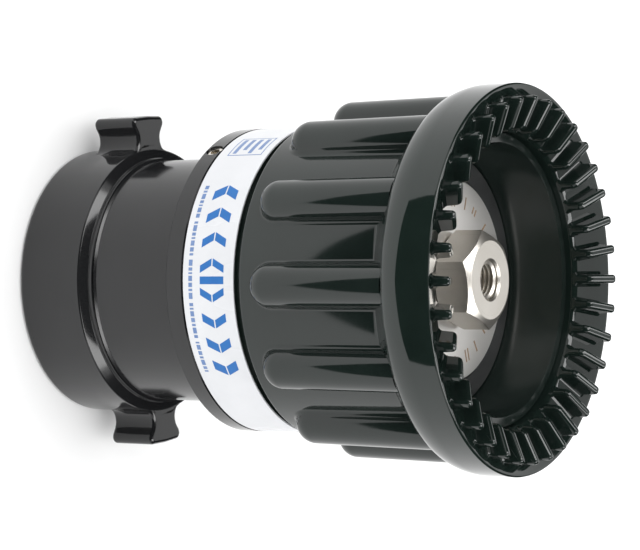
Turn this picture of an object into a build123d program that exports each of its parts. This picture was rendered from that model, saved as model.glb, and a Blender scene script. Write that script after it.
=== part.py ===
"""Fire hose nozzle: swivel inlet, fixed barrel with centre baffle, and a twist pattern sleeve with fog teeth.

The nozzle stands on its inlet face at z = 0 and the stream leaves along +Z. All sizes are in millimetres.
Angles round the axis are in degrees from +X towards +Y.
"""
from build123d import *
import math
import os

os.makedirs("parts", exist_ok=True)

# Clearances
turn_gap = 0.3          # between pieces that turn or slide past each other
ball_gap = 0.08         # radial play of the balls in their race
edge_break = 0.5        # small machined edge

# Swivel coupling for a 2 1/2 inch hose thread
coupling_radius = 48.1
coupling_edge = 26.2    # height of its outer front edge
nose_radius = 44.6
nose_start = 28.0
nose_end = 29.7
thread_radius = 39.0    # thread root, the nominal major radius
thread_length = 17.2
pocket_radius = 40.6
race_bore = 40.4
rim_round = 2.0

# Rocker lugs
lug_angles = [185, 5]
lug_top = 60.2
lug_head_half = 9.3
lug_head_round = 1.7
lug_waist_half = 7.0
lug_root_round = 5.0
lug_neck_angle = 55
lug_rear = 7.9

# Inlet gasket
gasket_start = 17.2
gasket_end = 20.4
gasket_bore = 34.8

# Ball race
race_height = 23.8
race_radius = 40.25
ball_radius = 2.38
ball_count = 48
fill_angle = 60
fill_radius = 2.6
plug_depth = 4.6
plug_socket = 1.5

# Tailpiece and its seal
tail_start = 20.7
tail_radius = 40.1
tail_thread = 39.4
tail_end = 44.0
water_radius = 34.5     # waterway all the way through
swivel_seal_height = 27.5
seal_section = 1.0

# Barrel
barrel_start = 30.0
barrel_radius = 43.7
shoulder_end = 31.0
barrel_seat = 52.0      # shoulder that the stem support rests on
seat_spigot = 138.0
barrel_end = 144.0
barrel_seal_height = 131.8

# Seat ring at the front of the barrel
seat_face = 148.7
seat_spigot_radius = 39.6
seat_outer = 43.5
orifice_radius = 36.2

# Stem support with three vanes
vane_count = 3
vane_thickness = 3.6
hub_radius = 11.0
hub_start = 46.0
hub_end = 62.0

# Stem, its fasteners and the baffle
stem_start = 32.0
stem_thread = 6.0
stem_body = 9.0
stem_front = 6.5
spacer_start = 118.0
spacer_end = 121.0
stem_end = 156.0
washer_start = 44.0
washer_radius = 10.8
stem_nut_start = 34.5
stem_nut_flats = 19.0
plate_start = 148.9
plate_end = 150.4
plate_radius = 34.4
nut_end = 164.2
nut_flats = 29.7
nut_face_radius = 13.3
nut_chamfer_slope = 0.5
nut_mouth = 7.3

# Cam pins fixed in the barrel, and the helical tracks they follow in the sleeve
cam_height = 105.0
cam_radius = 3.0
cam_root = 39.0
cam_tip = 46.7
track_root = 47.1
sleeve_turn = 135.0     # full twist from straight stream to wide fog
sleeve_lead = 40.0      # travel for one whole turn

# Pattern sleeve
sleeve_start = 68.0
sleeve_bore = barrel_radius + turn_gap
spigot_radius = 49.0
ring_front = 75.0
land_radius = 53.3
label_end = 95.9
land_front = 98.6
neck_radius = 52.0
tube_radius = 50.0
flare_start = 148.7
mouth_radius = 46.4
mouth_height = 168.0
wiper_start = 79.0
wiper_end = 82.4
wiper_groove = 47.2

# Rear ring and its lock screw
ring_radius = 53.9
screw_angle = 212.8
screw_height = 71.6
screw_radius = 3.05
screw_socket = 3.2

# Label band
label_start = 75.3
label_radius = 53.8

# Ribbed grip
grip_rear = 98.6
grip_front = 157.2
floor_rear = 54.8
floor_front = 55.4
ramp_start = 152.2
ramp_end = 155.9
collar_radius = 61.0
rib_radius = 62.0
rib_count = 12
rib_curve = 7.3         # radius of the rounded cross-section
rib_nose = 5.8          # length of the rounded rear end
rib_rear = 104.3
rib_phase = 271.5
rib_root_round = 1.7

# Bumper and its fog teeth
bumper_rear = 157.5
bumper_rear_radius = 61.5
bumper_shoulder = 10.0   # height over which the rear shoulder swells to the full radius
lip_radius = 66.0
lip_height = 177.0
face_inner_radius = 51.0
face_inner_height = 171.4
tooth_count = 36
tooth_inner = 50.1
tooth_outer = 62.3
tooth_base = 169.0
tooth_inner_top = 177.1
tooth_outer_top = 183.1
tooth_width = 4.4
tooth_draft = 5.0
tooth_round = 1.0


def ring_profile(inner, outer, start, end):
    """Rectangle from radius inner to outer and height start to end, in the radial plane."""
    with BuildSketch(Plane.XZ) as section:
        with Locations(((inner + outer) / 2, (start + end) / 2)):
            Rectangle(outer - inner, end - start)
    return section.sketch


def radial_plane(angle, height, radius=0.0):
    """Plane whose normal points outwards at an angle round the axis, with its local x along +Z."""
    outwards = Vector(math.cos(math.radians(angle)), math.sin(math.radians(angle)), 0)
    return Plane(origin=outwards * radius + Vector(0, 0, height), x_dir=(0, 0, 1), z_dir=outwards)


def is_rib_foot(edge):
    """True for the edges where a rib's side or rear end meets the grip's floor and ramp."""
    middle = edge @ 0.5
    reach = math.hypot(middle.X, middle.Y)
    on_floor = floor_rear - 1 < reach < collar_radius - 0.5 and middle.Z > rib_rear - 1
    return on_floor and edge.geom_type != GeomType.LINE and edge.bounding_box().size.Z > edge_break


def save(piece, name):
    piece.part.label = name
    export_step(piece.part, f"parts/{name}.step")


# ---------------------------------------------------------------- swivel coupling
with BuildSketch() as lug_face:
    root_reach = math.sqrt((coupling_radius + lug_root_round) ** 2 - (lug_waist_half + lug_root_round) ** 2)
    root_side = lug_waist_half + lug_root_round
    root_angle = 180 - math.degrees(math.atan2(root_side, root_reach))
    head_base = root_reach + lug_root_round * math.cos(math.radians(lug_neck_angle))
    head_step = lug_head_half - root_side + lug_root_round * math.sin(math.radians(lug_neck_angle))
    head_base += head_step * math.tan(math.radians(lug_neck_angle))
    with BuildLine():
        lower = CenterArc((root_reach, -root_side), lug_root_round, root_angle, lug_neck_angle - root_angle)
        upper = CenterArc((root_reach, root_side), lug_root_round, -root_angle, root_angle - lug_neck_angle)
        Polyline(
            lower @ 1,
            (head_base, -lug_head_half),
            (lug_top, -lug_head_half),
            (lug_top, lug_head_half),
            (head_base, lug_head_half),
            upper @ 1,
        )
        Polyline(upper @ 0, (0, 0), lower @ 0)
    make_face()
    head_corners = lug_face.vertices().filter_by(lambda v: abs(abs(v.Y) - lug_head_half) < 0.01)
    fillet(head_corners, radius=lug_head_round)

with BuildPart() as swivel_coupling:
    with BuildSketch(Plane.XY.offset(lug_rear)) as lug_section:
        Circle(coupling_radius)
        for lug_angle in lug_angles:
            add(lug_face.sketch, rotation=lug_angle)
    extrude(amount=coupling_edge - lug_rear)
    fillet(swivel_coupling.edges().filter_by(Plane.XY), radius=0.9)
    with BuildSketch(Plane.XZ) as shell_section:
        with BuildLine():
            Polyline(
                (0, 0),
                (coupling_radius, 0),
                (coupling_radius, coupling_edge - 0.4),
                (coupling_radius - 0.4, coupling_edge),
                (nose_radius, nose_start),
                (nose_radius, nose_end),
                (0, nose_end),
                close=True,
            )
        make_face()
        rim = shell_section.vertices().sort_by_distance((coupling_radius, 0, 0))[0]
        fillet(rim, radius=rim_round)
    revolve(axis=Axis.Z)
    with BuildSketch(Plane.XZ) as bore_section:
        with BuildLine():
            Polyline(
                (0, 0),
                (thread_radius + 1.6, 0),
                (thread_radius, 1.6),
                (thread_radius, thread_length),
                (pocket_radius, thread_length),
                (pocket_radius, gasket_end),
                (race_bore, gasket_end),
                (race_bore, nose_end),
                (0, nose_end),
                close=True,
            )
        make_face()
    revolve(axis=Axis.Z, mode=Mode.SUBTRACT)
    with BuildSketch(Plane.XZ):
        with Locations((race_radius, race_height)):
            Circle(ball_radius + ball_gap)
    revolve(axis=Axis.Z, mode=Mode.SUBTRACT)
    with BuildSketch(radial_plane(fill_angle, race_height, race_bore)):
        Circle(fill_radius)
    extrude(amount=coupling_radius, mode=Mode.SUBTRACT)
save(swivel_coupling, "swivel_coupling")

with BuildPart() as inlet_gasket:
    add(ring_profile(gasket_bore, pocket_radius, gasket_start, gasket_end))
    revolve(axis=Axis.Z)
save(inlet_gasket, "inlet_gasket")

with BuildPart() as ball_plug:
    with BuildSketch(radial_plane(fill_angle, race_height, race_radius + ball_radius + turn_gap)):
        Circle(fill_radius)
    extrude(amount=plug_depth)
    with BuildSketch(radial_plane(fill_angle, race_height, race_radius + ball_radius + turn_gap + plug_depth)):
        RegularPolygon(radius=plug_socket, side_count=6, major_radius=False)
    extrude(amount=-plug_depth / 2, mode=Mode.SUBTRACT)
save(ball_plug, "ball_plug")

with BuildPart() as swivel_balls:
    with Locations((0, 0, race_height)):
        with PolarLocations(race_radius, ball_count):
            Sphere(ball_radius)
save(swivel_balls, "swivel_balls")

# ---------------------------------------------------------------- tailpiece
with BuildPart() as tailpiece:
    add(ring_profile(water_radius, tail_radius, tail_start, barrel_start))
    add(ring_profile(water_radius, tail_thread, barrel_start, tail_end))
    revolve(axis=Axis.Z)
    with BuildSketch(Plane.XZ):
        with Locations((race_radius, race_height)):
            Circle(ball_radius + ball_gap)
        with Locations((tail_radius, swivel_seal_height)):
            Rectangle(4 * seal_section, 2.4 * seal_section)
    revolve(axis=Axis.Z, mode=Mode.SUBTRACT)
save(tailpiece, "tailpiece")

with BuildPart() as swivel_seal:
    with BuildSketch(Plane.XZ):
        with Locations((tail_radius - seal_section, swivel_seal_height)):
            Circle(seal_section)
    revolve(axis=Axis.Z)
save(swivel_seal, "swivel_seal")

# ---------------------------------------------------------------- barrel
with BuildPart() as base_barrel:
    with BuildSketch(Plane.XZ) as barrel_section:
        with BuildLine():
            Polyline(
                (tail_thread, barrel_start),
                (nose_radius - 0.4, barrel_start),
                (nose_radius, barrel_start + 0.4),
                (barrel_radius, shoulder_end),
                (barrel_radius, barrel_end),
                (seat_spigot_radius, barrel_end),
                (seat_spigot_radius, seat_spigot),
                (water_radius, seat_spigot),
                (water_radius, barrel_seat),
                (tail_thread, barrel_seat),
                close=True,
            )
        make_face()
        with Locations((barrel_radius, barrel_seal_height)):
            Rectangle(5 * seal_section, 3 * seal_section, mode=Mode.SUBTRACT)
    revolve(axis=Axis.Z)
    for cam_angle in (0, 180):
        with BuildSketch(radial_plane(cam_angle, cam_height, cam_root)):
            Circle(cam_radius)
        extrude(amount=cam_tip - cam_root, mode=Mode.SUBTRACT)
save(base_barrel, "base_barrel")

with BuildPart() as cam_pins:
    for cam_angle in (0, 180):
        with BuildSketch(radial_plane(cam_angle, cam_height, cam_root)):
            Circle(cam_radius)
        extrude(amount=cam_tip - cam_root)
save(cam_pins, "cam_pins")

with BuildPart() as barrel_seal:
    with BuildSketch(Plane.XZ):
        with Locations((barrel_radius - 1.2 * seal_section, barrel_seal_height)):
            Circle(1.2 * seal_section)
    revolve(axis=Axis.Z)
save(barrel_seal, "barrel_seal")

with BuildPart() as seat_ring:
    with BuildSketch(Plane.XZ) as seat_section:
        with BuildLine():
            Polyline(
                (water_radius, seat_spigot),
                (seat_spigot_radius, seat_spigot),
                (seat_spigot_radius, barrel_end),
                (seat_outer, barrel_end),
                (seat_outer, seat_face - edge_break),
                (seat_outer - edge_break, seat_face),
                (orifice_radius, seat_face),
                (water_radius, seat_face - orifice_radius + water_radius),
                close=True,
            )
        make_face()
    revolve(axis=Axis.Z)
save(seat_ring, "seat_ring")

# ---------------------------------------------------------------- stem support and stem
with BuildPart() as stem_support:
    add(ring_profile(water_radius, tail_thread, tail_end, barrel_seat))
    add(ring_profile(stem_thread, hub_radius, hub_start, hub_end))
    revolve(axis=Axis.Z)
    for vane in range(vane_count):
        vane_angle = 90 + vane * 360 / vane_count
        along = Vector(math.cos(math.radians(vane_angle)), math.sin(math.radians(vane_angle)), 0)
        side = Vector(0, 0, 1).cross(along)
        with BuildSketch(Plane(origin=(0, 0, 0), x_dir=along, z_dir=-side)) as vane_section:
            with BuildLine():
                Polyline(
                    (hub_radius - 1, hub_start),
                    (water_radius + 1, hub_start),
                    (water_radius + 1, barrel_seat - 1),
                    (hub_radius - 1, hub_end - 1),
                    close=True,
                )
            make_face()
        extrude(amount=vane_thickness / 2, both=True)
save(stem_support, "stem_support")

with BuildPart() as stem:
    with BuildSketch(Plane.XZ) as stem_section:
        with BuildLine():
            Polyline(
                (0, stem_start),
                (stem_thread - edge_break, stem_start),
                (stem_thread, stem_start + edge_break),
                (stem_thread, hub_end),
                (stem_body, hub_end),
                (stem_body, spacer_start),
                (stem_front, spacer_start),
                (stem_front, stem_end - edge_break),
                (stem_front - edge_break, stem_end),
                (0, stem_end),
                close=True,
            )
        make_face()
    revolve(axis=Axis.Z)
save(stem, "stem")

with BuildPart() as stem_washer:
    add(ring_profile(stem_thread, washer_radius, washer_start, hub_start))
    revolve(axis=Axis.Z)
save(stem_washer, "stem_washer")

with BuildPart() as stem_nut:
    with BuildSketch(Plane.XY.offset(stem_nut_start)):
        RegularPolygon(radius=stem_nut_flats / 2, side_count=6, major_radius=False)
        Circle(stem_thread, mode=Mode.SUBTRACT)
    extrude(amount=washer_start - stem_nut_start)
save(stem_nut, "stem_nut")

# ---------------------------------------------------------------- baffle
with BuildPart() as flow_spacer:
    add(ring_profile(stem_front, stem_body + 1, spacer_start, spacer_end))
    revolve(axis=Axis.Z)
save(flow_spacer, "flow_spacer")

with BuildPart() as baffle_body:
    cone_edge = plate_radius - 0.7
    cone_foot = stem_body + 1
    with BuildSketch(Plane.XZ) as cone_section:
        with BuildLine():
            Line((stem_front, spacer_end), (cone_foot, spacer_end))
            cone_curve = Spline(
                (cone_foot, spacer_end),
                (cone_edge - 14, plate_start - 14),
                (cone_edge, plate_start),
                tangents=[(0.2, 1), (1, 1)],
            )
            Line((cone_edge, plate_start), (stem_front, plate_start))
            Line((stem_front, plate_start), (stem_front, spacer_end))
        make_face()
    revolve(axis=Axis.Z)
save(baffle_body, "baffle_body")

with BuildPart() as baffle_plate:
    with BuildSketch(Plane.XY.offset(plate_start)):
        Circle(plate_radius)
        Circle(stem_front, mode=Mode.SUBTRACT)
    extrude(amount=plate_end - plate_start)
    rim_edges = baffle_plate.edges().filter_by(GeomType.CIRCLE).sort_by(SortBy.RADIUS)[-2:]
    chamfer(rim_edges.sort_by(Axis.Z)[-1], length=0.4)
save(baffle_plate, "baffle_plate")

with BuildPart() as baffle_nut:
    with BuildSketch(Plane.XY.offset(plate_end)):
        RegularPolygon(radius=nut_flats / 2, side_count=6, major_radius=False, rotation=9)
    extrude(amount=nut_end - plate_end)
    nut_corner = nut_flats / math.sqrt(3)
    chamfer_drop = (nut_corner + 1 - nut_face_radius) * nut_chamfer_slope
    with BuildSketch(Plane.XZ):
        for height, drop in ((nut_end, -chamfer_drop), (plate_end, chamfer_drop)):
            with BuildLine():
                Polyline(
                    (nut_face_radius, height),
                    (nut_corner + 1, height),
                    (nut_corner + 1, height + drop),
                    close=True,
                )
            make_face()
    revolve(axis=Axis.Z, mode=Mode.SUBTRACT)
    with BuildSketch(Plane.XY.offset(plate_end)):
        Circle(stem_front)
    extrude(amount=nut_end - plate_end, mode=Mode.SUBTRACT)
    mouth_edge = baffle_nut.edges().filter_by(GeomType.CIRCLE).group_by(Axis.Z)[-1].sort_by(SortBy.RADIUS)[0]
    chamfer(mouth_edge, length=nut_mouth - stem_front)
save(baffle_nut, "baffle_nut")

# ---------------------------------------------------------------- pattern sleeve
track_overrun = math.degrees((cam_radius + turn_gap) / cam_tip)
track_turn = sleeve_turn + 2 * track_overrun
with BuildPart() as cam_track:
    with BuildLine(Plane.XY.offset(cam_height - track_overrun * sleeve_lead / 360)):
        track_path = Helix(pitch=sleeve_lead, height=track_turn * sleeve_lead / 360, radius=sleeve_bore)
    with BuildSketch(Plane(origin=track_path @ 0, x_dir=(1, 0, 0), z_dir=track_path % 0)):
        with Locations(((track_root - sleeve_bore) / 2 - 0.5, 0)):
            Rectangle(track_root - sleeve_bore + 1, 2 * (cam_radius + turn_gap))
    sweep(path=track_path, is_frenet=True)

with BuildPart() as pattern_sleeve:
    with BuildSketch(Plane.XZ) as sleeve_section:
        with BuildLine():
            Polyline(
                (sleeve_bore, sleeve_start),
                (spigot_radius, sleeve_start),
                (spigot_radius, ring_front),
                (land_radius, ring_front),
                (land_radius, label_end),
                (neck_radius, label_end),
                (neck_radius, land_front),
                (tube_radius, land_front),
                (tube_radius, mouth_height - edge_break),
                (tube_radius - edge_break, mouth_height),
                (mouth_radius, mouth_height),
            )
            ThreePointArc(
                (mouth_radius, mouth_height),
                ((mouth_radius + sleeve_bore) / 2 + 0.35, (mouth_height + flare_start) / 2),
                (sleeve_bore, flare_start),
            )
            Line((sleeve_bore, flare_start), (sleeve_bore, sleeve_start))
        make_face()
        with Locations(((sleeve_bore + wiper_groove) / 2, (wiper_start + wiper_end) / 2)):
            Rectangle(wiper_groove - sleeve_bore, wiper_end - wiper_start, mode=Mode.SUBTRACT)
    revolve(axis=Axis.Z)
    with PolarLocations(0, 2, start_angle=-track_overrun):
        add(cam_track.part, mode=Mode.SUBTRACT)
save(pattern_sleeve, "pattern_sleeve")

with BuildPart() as wiper_ring:
    add(
        ring_profile(
            barrel_radius + 0.1, wiper_groove - turn_gap, wiper_start + turn_gap, wiper_end - turn_gap
        )
    )
    revolve(axis=Axis.Z)
save(wiper_ring, "wiper_ring")

with BuildPart() as rear_ring:
    add(ring_profile(spigot_radius, ring_radius, sleeve_start, ring_front))
    revolve(axis=Axis.Z)
    ring_edges = rear_ring.edges().filter_by(GeomType.CIRCLE).sort_by(SortBy.RADIUS)[-2:]
    chamfer(ring_edges, length=edge_break)
    with BuildSketch(radial_plane(screw_angle, screw_height, spigot_radius - 1)):
        Circle(screw_radius)
    extrude(amount=ring_radius, mode=Mode.SUBTRACT)
save(rear_ring, "rear_ring")

screw_root = spigot_radius + 0.1
screw_face = ring_radius - 0.7
with BuildPart() as lock_screw:
    with BuildSketch(radial_plane(screw_angle, screw_height, screw_root)):
        Circle(screw_radius)
    extrude(amount=screw_face - screw_root)
    chamfer(lock_screw.edges().filter_by(GeomType.CIRCLE), length=0.35)
    with BuildSketch(radial_plane(screw_angle, screw_height, screw_face)):
        RegularPolygon(radius=screw_socket / 2, side_count=6, major_radius=False)
    extrude(amount=-2.4, mode=Mode.SUBTRACT)
save(lock_screw, "lock_screw")

with BuildPart() as label_band:
    add(ring_profile(land_radius, label_radius, label_start, label_end - 0.2))
    revolve(axis=Axis.Z)
save(label_band, "label_band")

# ---------------------------------------------------------------- ribbed grip
with BuildPart() as rib_blank:
    rib_body = grip_front - rib_rear - rib_nose
    rib_end = scale(Sphere(rib_curve, mode=Mode.PRIVATE), by=(1, 1, rib_nose / rib_curve), mode=Mode.PRIVATE)
    with Locations((rib_radius - rib_curve, 0, rib_rear + rib_nose)):
        Cylinder(radius=rib_curve, height=rib_body, align=(Align.CENTER, Align.CENTER, Align.MIN))
        add(rib_end)

with BuildPart() as ribbed_grip:
    with BuildSketch(Plane.XZ) as grip_section:
        with BuildLine():
            Polyline(
                (tube_radius, grip_front),
                (tube_radius, grip_rear),
                (floor_rear - edge_break, grip_rear),
                (floor_rear, grip_rear + edge_break),
                (floor_front, ramp_start),
            )
            ThreePointArc(
                (floor_front, ramp_start),
                (floor_front + 0.45 * (collar_radius - floor_front), ramp_start + 0.75 * (ramp_end - ramp_start)),
                (collar_radius, ramp_end),
            )
            Polyline(
                (collar_radius, ramp_end),
                (collar_radius, grip_front),
                (tube_radius, grip_front),
            )
        make_face()
    revolve(axis=Axis.Z)
    with PolarLocations(0, rib_count, start_angle=rib_phase):
        add(rib_blank.part)
    with BuildSketch(Plane.XY.offset(grip_rear)):
        Circle(tube_radius)
    extrude(amount=grip_front - grip_rear, mode=Mode.SUBTRACT)
    fillet(ribbed_grip.edges().filter_by(is_rib_foot), radius=rib_root_round)
save(ribbed_grip, "ribbed_grip")

# ---------------------------------------------------------------- bumper with fog teeth
with BuildPart() as tooth_blank:
    tooth_length = tooth_outer - tooth_inner
    with BuildSketch(Plane.XY.offset(tooth_base)):
        with Locations(((tooth_inner + tooth_outer) / 2, 0)):
            Rectangle(tooth_length, tooth_width)
    extrude(amount=tooth_outer_top - tooth_base + 2, taper=tooth_draft)
    with BuildSketch(Plane.XZ):
        with BuildLine():
            Polyline(
                (tooth_inner - 2, tooth_inner_top - 2 * (tooth_outer_top - tooth_inner_top) / tooth_length),
                (tooth_outer + 2, tooth_outer_top + 2 * (tooth_outer_top - tooth_inner_top) / tooth_length),
                (tooth_outer + 2, tooth_outer_top + 6),
                (tooth_inner - 2, tooth_outer_top + 6),
                close=True,
            )
        make_face()
    extrude(amount=tooth_width, both=True, mode=Mode.SUBTRACT)
    top_face = tooth_blank.faces().sort_by(Axis.Z)[-1]
    fillet(top_face.edges(), radius=tooth_round)

with BuildPart() as bumper:
    with BuildSketch(Plane.XZ) as bumper_section:
        with BuildLine():
            EllipticalCenterArc(
                center=(bumper_rear_radius, bumper_rear + bumper_shoulder),
                x_radius=lip_radius - bumper_rear_radius,
                y_radius=bumper_shoulder,
                start_angle=-90,
                arc_size=90,
            )
            Polyline(
                (lip_radius, bumper_rear + bumper_shoulder),
                (lip_radius, lip_height - 0.6),
                (lip_radius - 0.3, lip_height),
                (lip_radius - 1.0, lip_height),
                (face_inner_radius, face_inner_height),
                (tube_radius, face_inner_height - 1.2),
                (tube_radius, bumper_rear),
                (bumper_rear_radius, bumper_rear),
            )
        make_face()
    revolve(axis=Axis.Z)
    with PolarLocations(0, tooth_count, start_angle=90):
        add(tooth_blank.part)
save(bumper, "bumper")
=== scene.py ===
import bpy
import bmesh
import math
from mathutils import Matrix, Vector


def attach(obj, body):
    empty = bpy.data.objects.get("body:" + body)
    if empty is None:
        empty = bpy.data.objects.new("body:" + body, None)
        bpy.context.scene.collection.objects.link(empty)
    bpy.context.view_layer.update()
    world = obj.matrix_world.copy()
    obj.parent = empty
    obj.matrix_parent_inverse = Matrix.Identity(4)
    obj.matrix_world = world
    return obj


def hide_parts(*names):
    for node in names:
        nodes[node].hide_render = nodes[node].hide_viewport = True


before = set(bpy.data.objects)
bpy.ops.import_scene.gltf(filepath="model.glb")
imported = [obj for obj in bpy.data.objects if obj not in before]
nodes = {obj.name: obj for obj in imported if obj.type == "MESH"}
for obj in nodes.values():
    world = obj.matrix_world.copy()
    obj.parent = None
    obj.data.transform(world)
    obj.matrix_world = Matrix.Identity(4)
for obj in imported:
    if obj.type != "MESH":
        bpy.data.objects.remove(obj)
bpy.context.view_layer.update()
scene = bpy.context.scene
mm = 0.001
fullTurn = 2 * math.pi
mergeDistance = 1e-6
cutDistance = 1e-7
print("frame loaded:", len(nodes), "nodes")

# shop tools used for every turned or cut piece
turning = {"steps": 216, "cornerSegments": 5}
threadCut = {"rootGap": 0.05, "sink": 0.3, "runOut": 0.3}
evenWeight = 80  # above 50 the larger faces set the shading of the rounded corners beside them


def roundCorner(bm, corner, rounding, segments):
    if rounding:
        bmesh.ops.bevel(bm, geom=[corner], offset=rounding * mm, offset_type="OFFSET",
                        affect="VERTICES", segments=segments, profile=0.5, material=-1)


def turnSection(section, steps=turning["steps"]):
    # a closed outline of (radius, height, corner rounding) in mm, turned round the nozzle's axis
    bm = bmesh.new()
    corners = [bm.verts.new((radius * mm, 0, height * mm)) for radius, height, rounding in section]
    for index, corner in enumerate(corners):
        bm.edges.new((corners[index - 1], corner))
    for corner, (radius, height, rounding) in zip(corners, section):
        roundCorner(bm, corner, rounding, turning["cornerSegments"])
    bmesh.ops.spin(bm, geom=bm.verts[:] + bm.edges[:], cent=(0, 0, 0), axis=(0, 0, 1), dvec=(0, 0, 0),
                   angle=fullTurn, steps=steps, use_merge=True, use_duplicate=False)
    bmesh.ops.remove_doubles(bm, verts=bm.verts, dist=mergeDistance)
    bmesh.ops.recalc_face_normals(bm, faces=bm.faces)
    return bm


def cutThread(thread):
    # one ridge wound along a bore or a rod; it runs out smoothly at both ends
    bm = bmesh.new()
    half = thread["pitch"] / 2 - threadCut["rootGap"]
    inBore = thread["root"] > thread["crest"]
    rootSide = thread["root"] + (threadCut["sink"] if inBore else -threadCut["sink"])
    outline = [(rootSide, -half), (thread["crest"], -thread["flat"]), (thread["crest"], thread["flat"]),
               (rootSide, half)]
    ridge = [bm.verts.new((radius * mm, 0, (thread["start"] + height) * mm)) for radius, height in outline]
    edges = [bm.edges.new((ridge[index - 1], corner)) for index, corner in enumerate(ridge)]
    steps = int(thread["stepsPerTurn"] * thread["turns"])
    rise = thread["pitch"] * mm / thread["stepsPerTurn"]
    bmesh.ops.spin(bm, geom=ridge + edges, cent=(0, 0, 0), axis=(0, 0, 1), dvec=(0, 0, rise),
                   angle=fullTurn * thread["turns"], steps=steps, use_merge=False, use_duplicate=False)
    runOut = thread["stepsPerTurn"] * threadCut["runOut"]
    for index, vert in enumerate(bm.verts):
        step = index // len(outline)
        height = min(1, step / runOut, (steps - step) / runOut)
        radius = math.hypot(vert.co.x, vert.co.y)
        kept = rootSide * mm + (radius - rootSide * mm) * height
        vert.co.x *= kept / radius
        vert.co.y *= kept / radius
    bmesh.ops.holes_fill(bm, edges=[e for e in bm.edges if e.is_boundary], sides=0)
    bmesh.ops.recalc_face_normals(bm, faces=bm.faces)
    return bm


def addInto(target, source, turn=0.0):
    # joins one bmesh into another, turned about the nozzle's axis
    scratch = bpy.data.meshes.new("scratch")
    source.to_mesh(scratch)
    scratch.transform(Matrix.Rotation(turn, 4, "Z"))
    target.from_mesh(scratch)
    bpy.data.meshes.remove(scratch)


def softenEdges(bm, edges, width, segments, clamped=True):
    bmesh.ops.bevel(bm, geom=edges, offset=width * mm, offset_type="OFFSET", affect="EDGES",
                    segments=segments, profile=0.5, material=-1, clamp_overlap=clamped)


def meshObject(name, bm):
    mesh = bpy.data.meshes.new(name)
    bm.to_mesh(mesh)
    bm.free()
    made = bpy.data.objects.new(name, mesh)
    scene.collection.objects.link(made)
    return made


def finishPiece(name, bm, material, body, stands=(), crease=32, evened=True):
    piece = meshObject(name, bm)
    piece.data.shade_smooth()
    piece.data.set_sharp_from_angle(angle=math.radians(crease))
    piece.data.materials.append(material)
    if evened:
        evenNormals = piece.modifiers.new("evenNormals", "WEIGHTED_NORMAL")
        evenNormals.keep_sharp = True
        evenNormals.weight = evenWeight
    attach(piece, body)
    if stands:
        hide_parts(*stands)


# effects shared by the finishes
def effectGroup(name, inputs, outputs):
    group = bpy.data.node_groups.new(name, "ShaderNodeTree")
    for socketName, value in inputs.items():
        socket = group.interface.new_socket(name=socketName, in_out="INPUT", socket_type="NodeSocketFloat")
        socket.default_value = value
    for socketName in outputs:
        group.interface.new_socket(name=socketName, in_out="OUTPUT", socket_type="NodeSocketFloat")
    return group, group.nodes.new("NodeGroupInput"), group.nodes.new("NodeGroupOutput")


def addNode(tree, kind, values=None, **settings):
    node = tree.nodes.new(kind)
    for key, value in settings.items():
        setattr(node, key, value)
    for key, value in (values or {}).items():
        node.inputs[key].default_value = value
    return node


def addMath(tree, operation, first, second=None, clamp=False):
    node = addNode(tree, "ShaderNodeMath", operation=operation, use_clamp=clamp)
    for index, value in enumerate((first, second)):
        if isinstance(value, (int, float)):
            node.inputs[index].default_value = value
        elif value is not None:
            tree.links.new(value, node.inputs[index])
    return node.outputs[0]


def remap(tree, value, low, high, toLow=0.0, toHigh=1.0):
    node = addNode(tree, "ShaderNodeMapRange", {1: low, 2: high, 3: toLow, 4: toHigh}, clamp=True)
    tree.links.new(value, node.inputs[0])
    return node.outputs[0]


def noiseField(tree, scale, detail=3.0, roughness=0.55, stretch=None):
    place = addNode(tree, "ShaderNodeTexCoord").outputs["Object"]
    if stretch:
        squeeze = addNode(tree, "ShaderNodeMapping")
        squeeze.inputs["Scale"].default_value = stretch
        tree.links.new(place, squeeze.inputs["Vector"])
        place = squeeze.outputs[0]
    noise = addNode(tree, "ShaderNodeTexNoise", {"Detail": detail, "Roughness": roughness})
    tree.links.new(place, noise.inputs["Vector"])
    if isinstance(scale, (int, float)):
        noise.inputs["Scale"].default_value = scale
    else:
        tree.links.new(scale, noise.inputs["Scale"])
    return noise.outputs["Fac"]


coat = {"grainDetail": 2.0, "patchDetail": 4.0, "patchRoughness": 0.6, "patchRange": (0.3, 0.7)}


def buildCoatGrain():
    # the faint orange peel of a coated or moulded surface, and slow changes in its gloss
    group, given, out = effectGroup("coatGrain", {"Scale": 900.0, "Patch Scale": 45.0}, ["Height", "Patches"])
    group.links.new(noiseField(group, given.outputs["Scale"], coat["grainDetail"]), out.inputs["Height"])
    patches = noiseField(group, given.outputs["Patch Scale"], coat["patchDetail"], coat["patchRoughness"])
    group.links.new(remap(group, patches, *coat["patchRange"]), out.inputs["Patches"])
    return group


rubbing = {"detail": 5.0, "roughness": 0.7, "range": (0.42, 0.6)}


def buildEdgeWear():
    # where corners stand proud and rub bright, broken up by noise
    group, given, out = effectGroup("edgeWear", {"Start": 0.52, "End": 0.6, "Breakup": 220.0}, ["Mask"])
    proud = addNode(group, "ShaderNodeNewGeometry").outputs["Pointiness"]
    ramp = addNode(group, "ShaderNodeMapRange", clamp=True)
    group.links.new(proud, ramp.inputs[0])
    group.links.new(given.outputs["Start"], ramp.inputs[1])
    group.links.new(given.outputs["End"], ramp.inputs[2])
    speckle = noiseField(group, given.outputs["Breakup"], rubbing["detail"], rubbing["roughness"])
    broken = remap(group, speckle, *rubbing["range"])
    group.links.new(addMath(group, "MULTIPLY", ramp.outputs[0], broken), out.inputs["Mask"])
    return group


lathe = {"scale": 1.0, "detail": 3.0, "roughness": 0.7, "range": (0.35, 0.65)}


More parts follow.
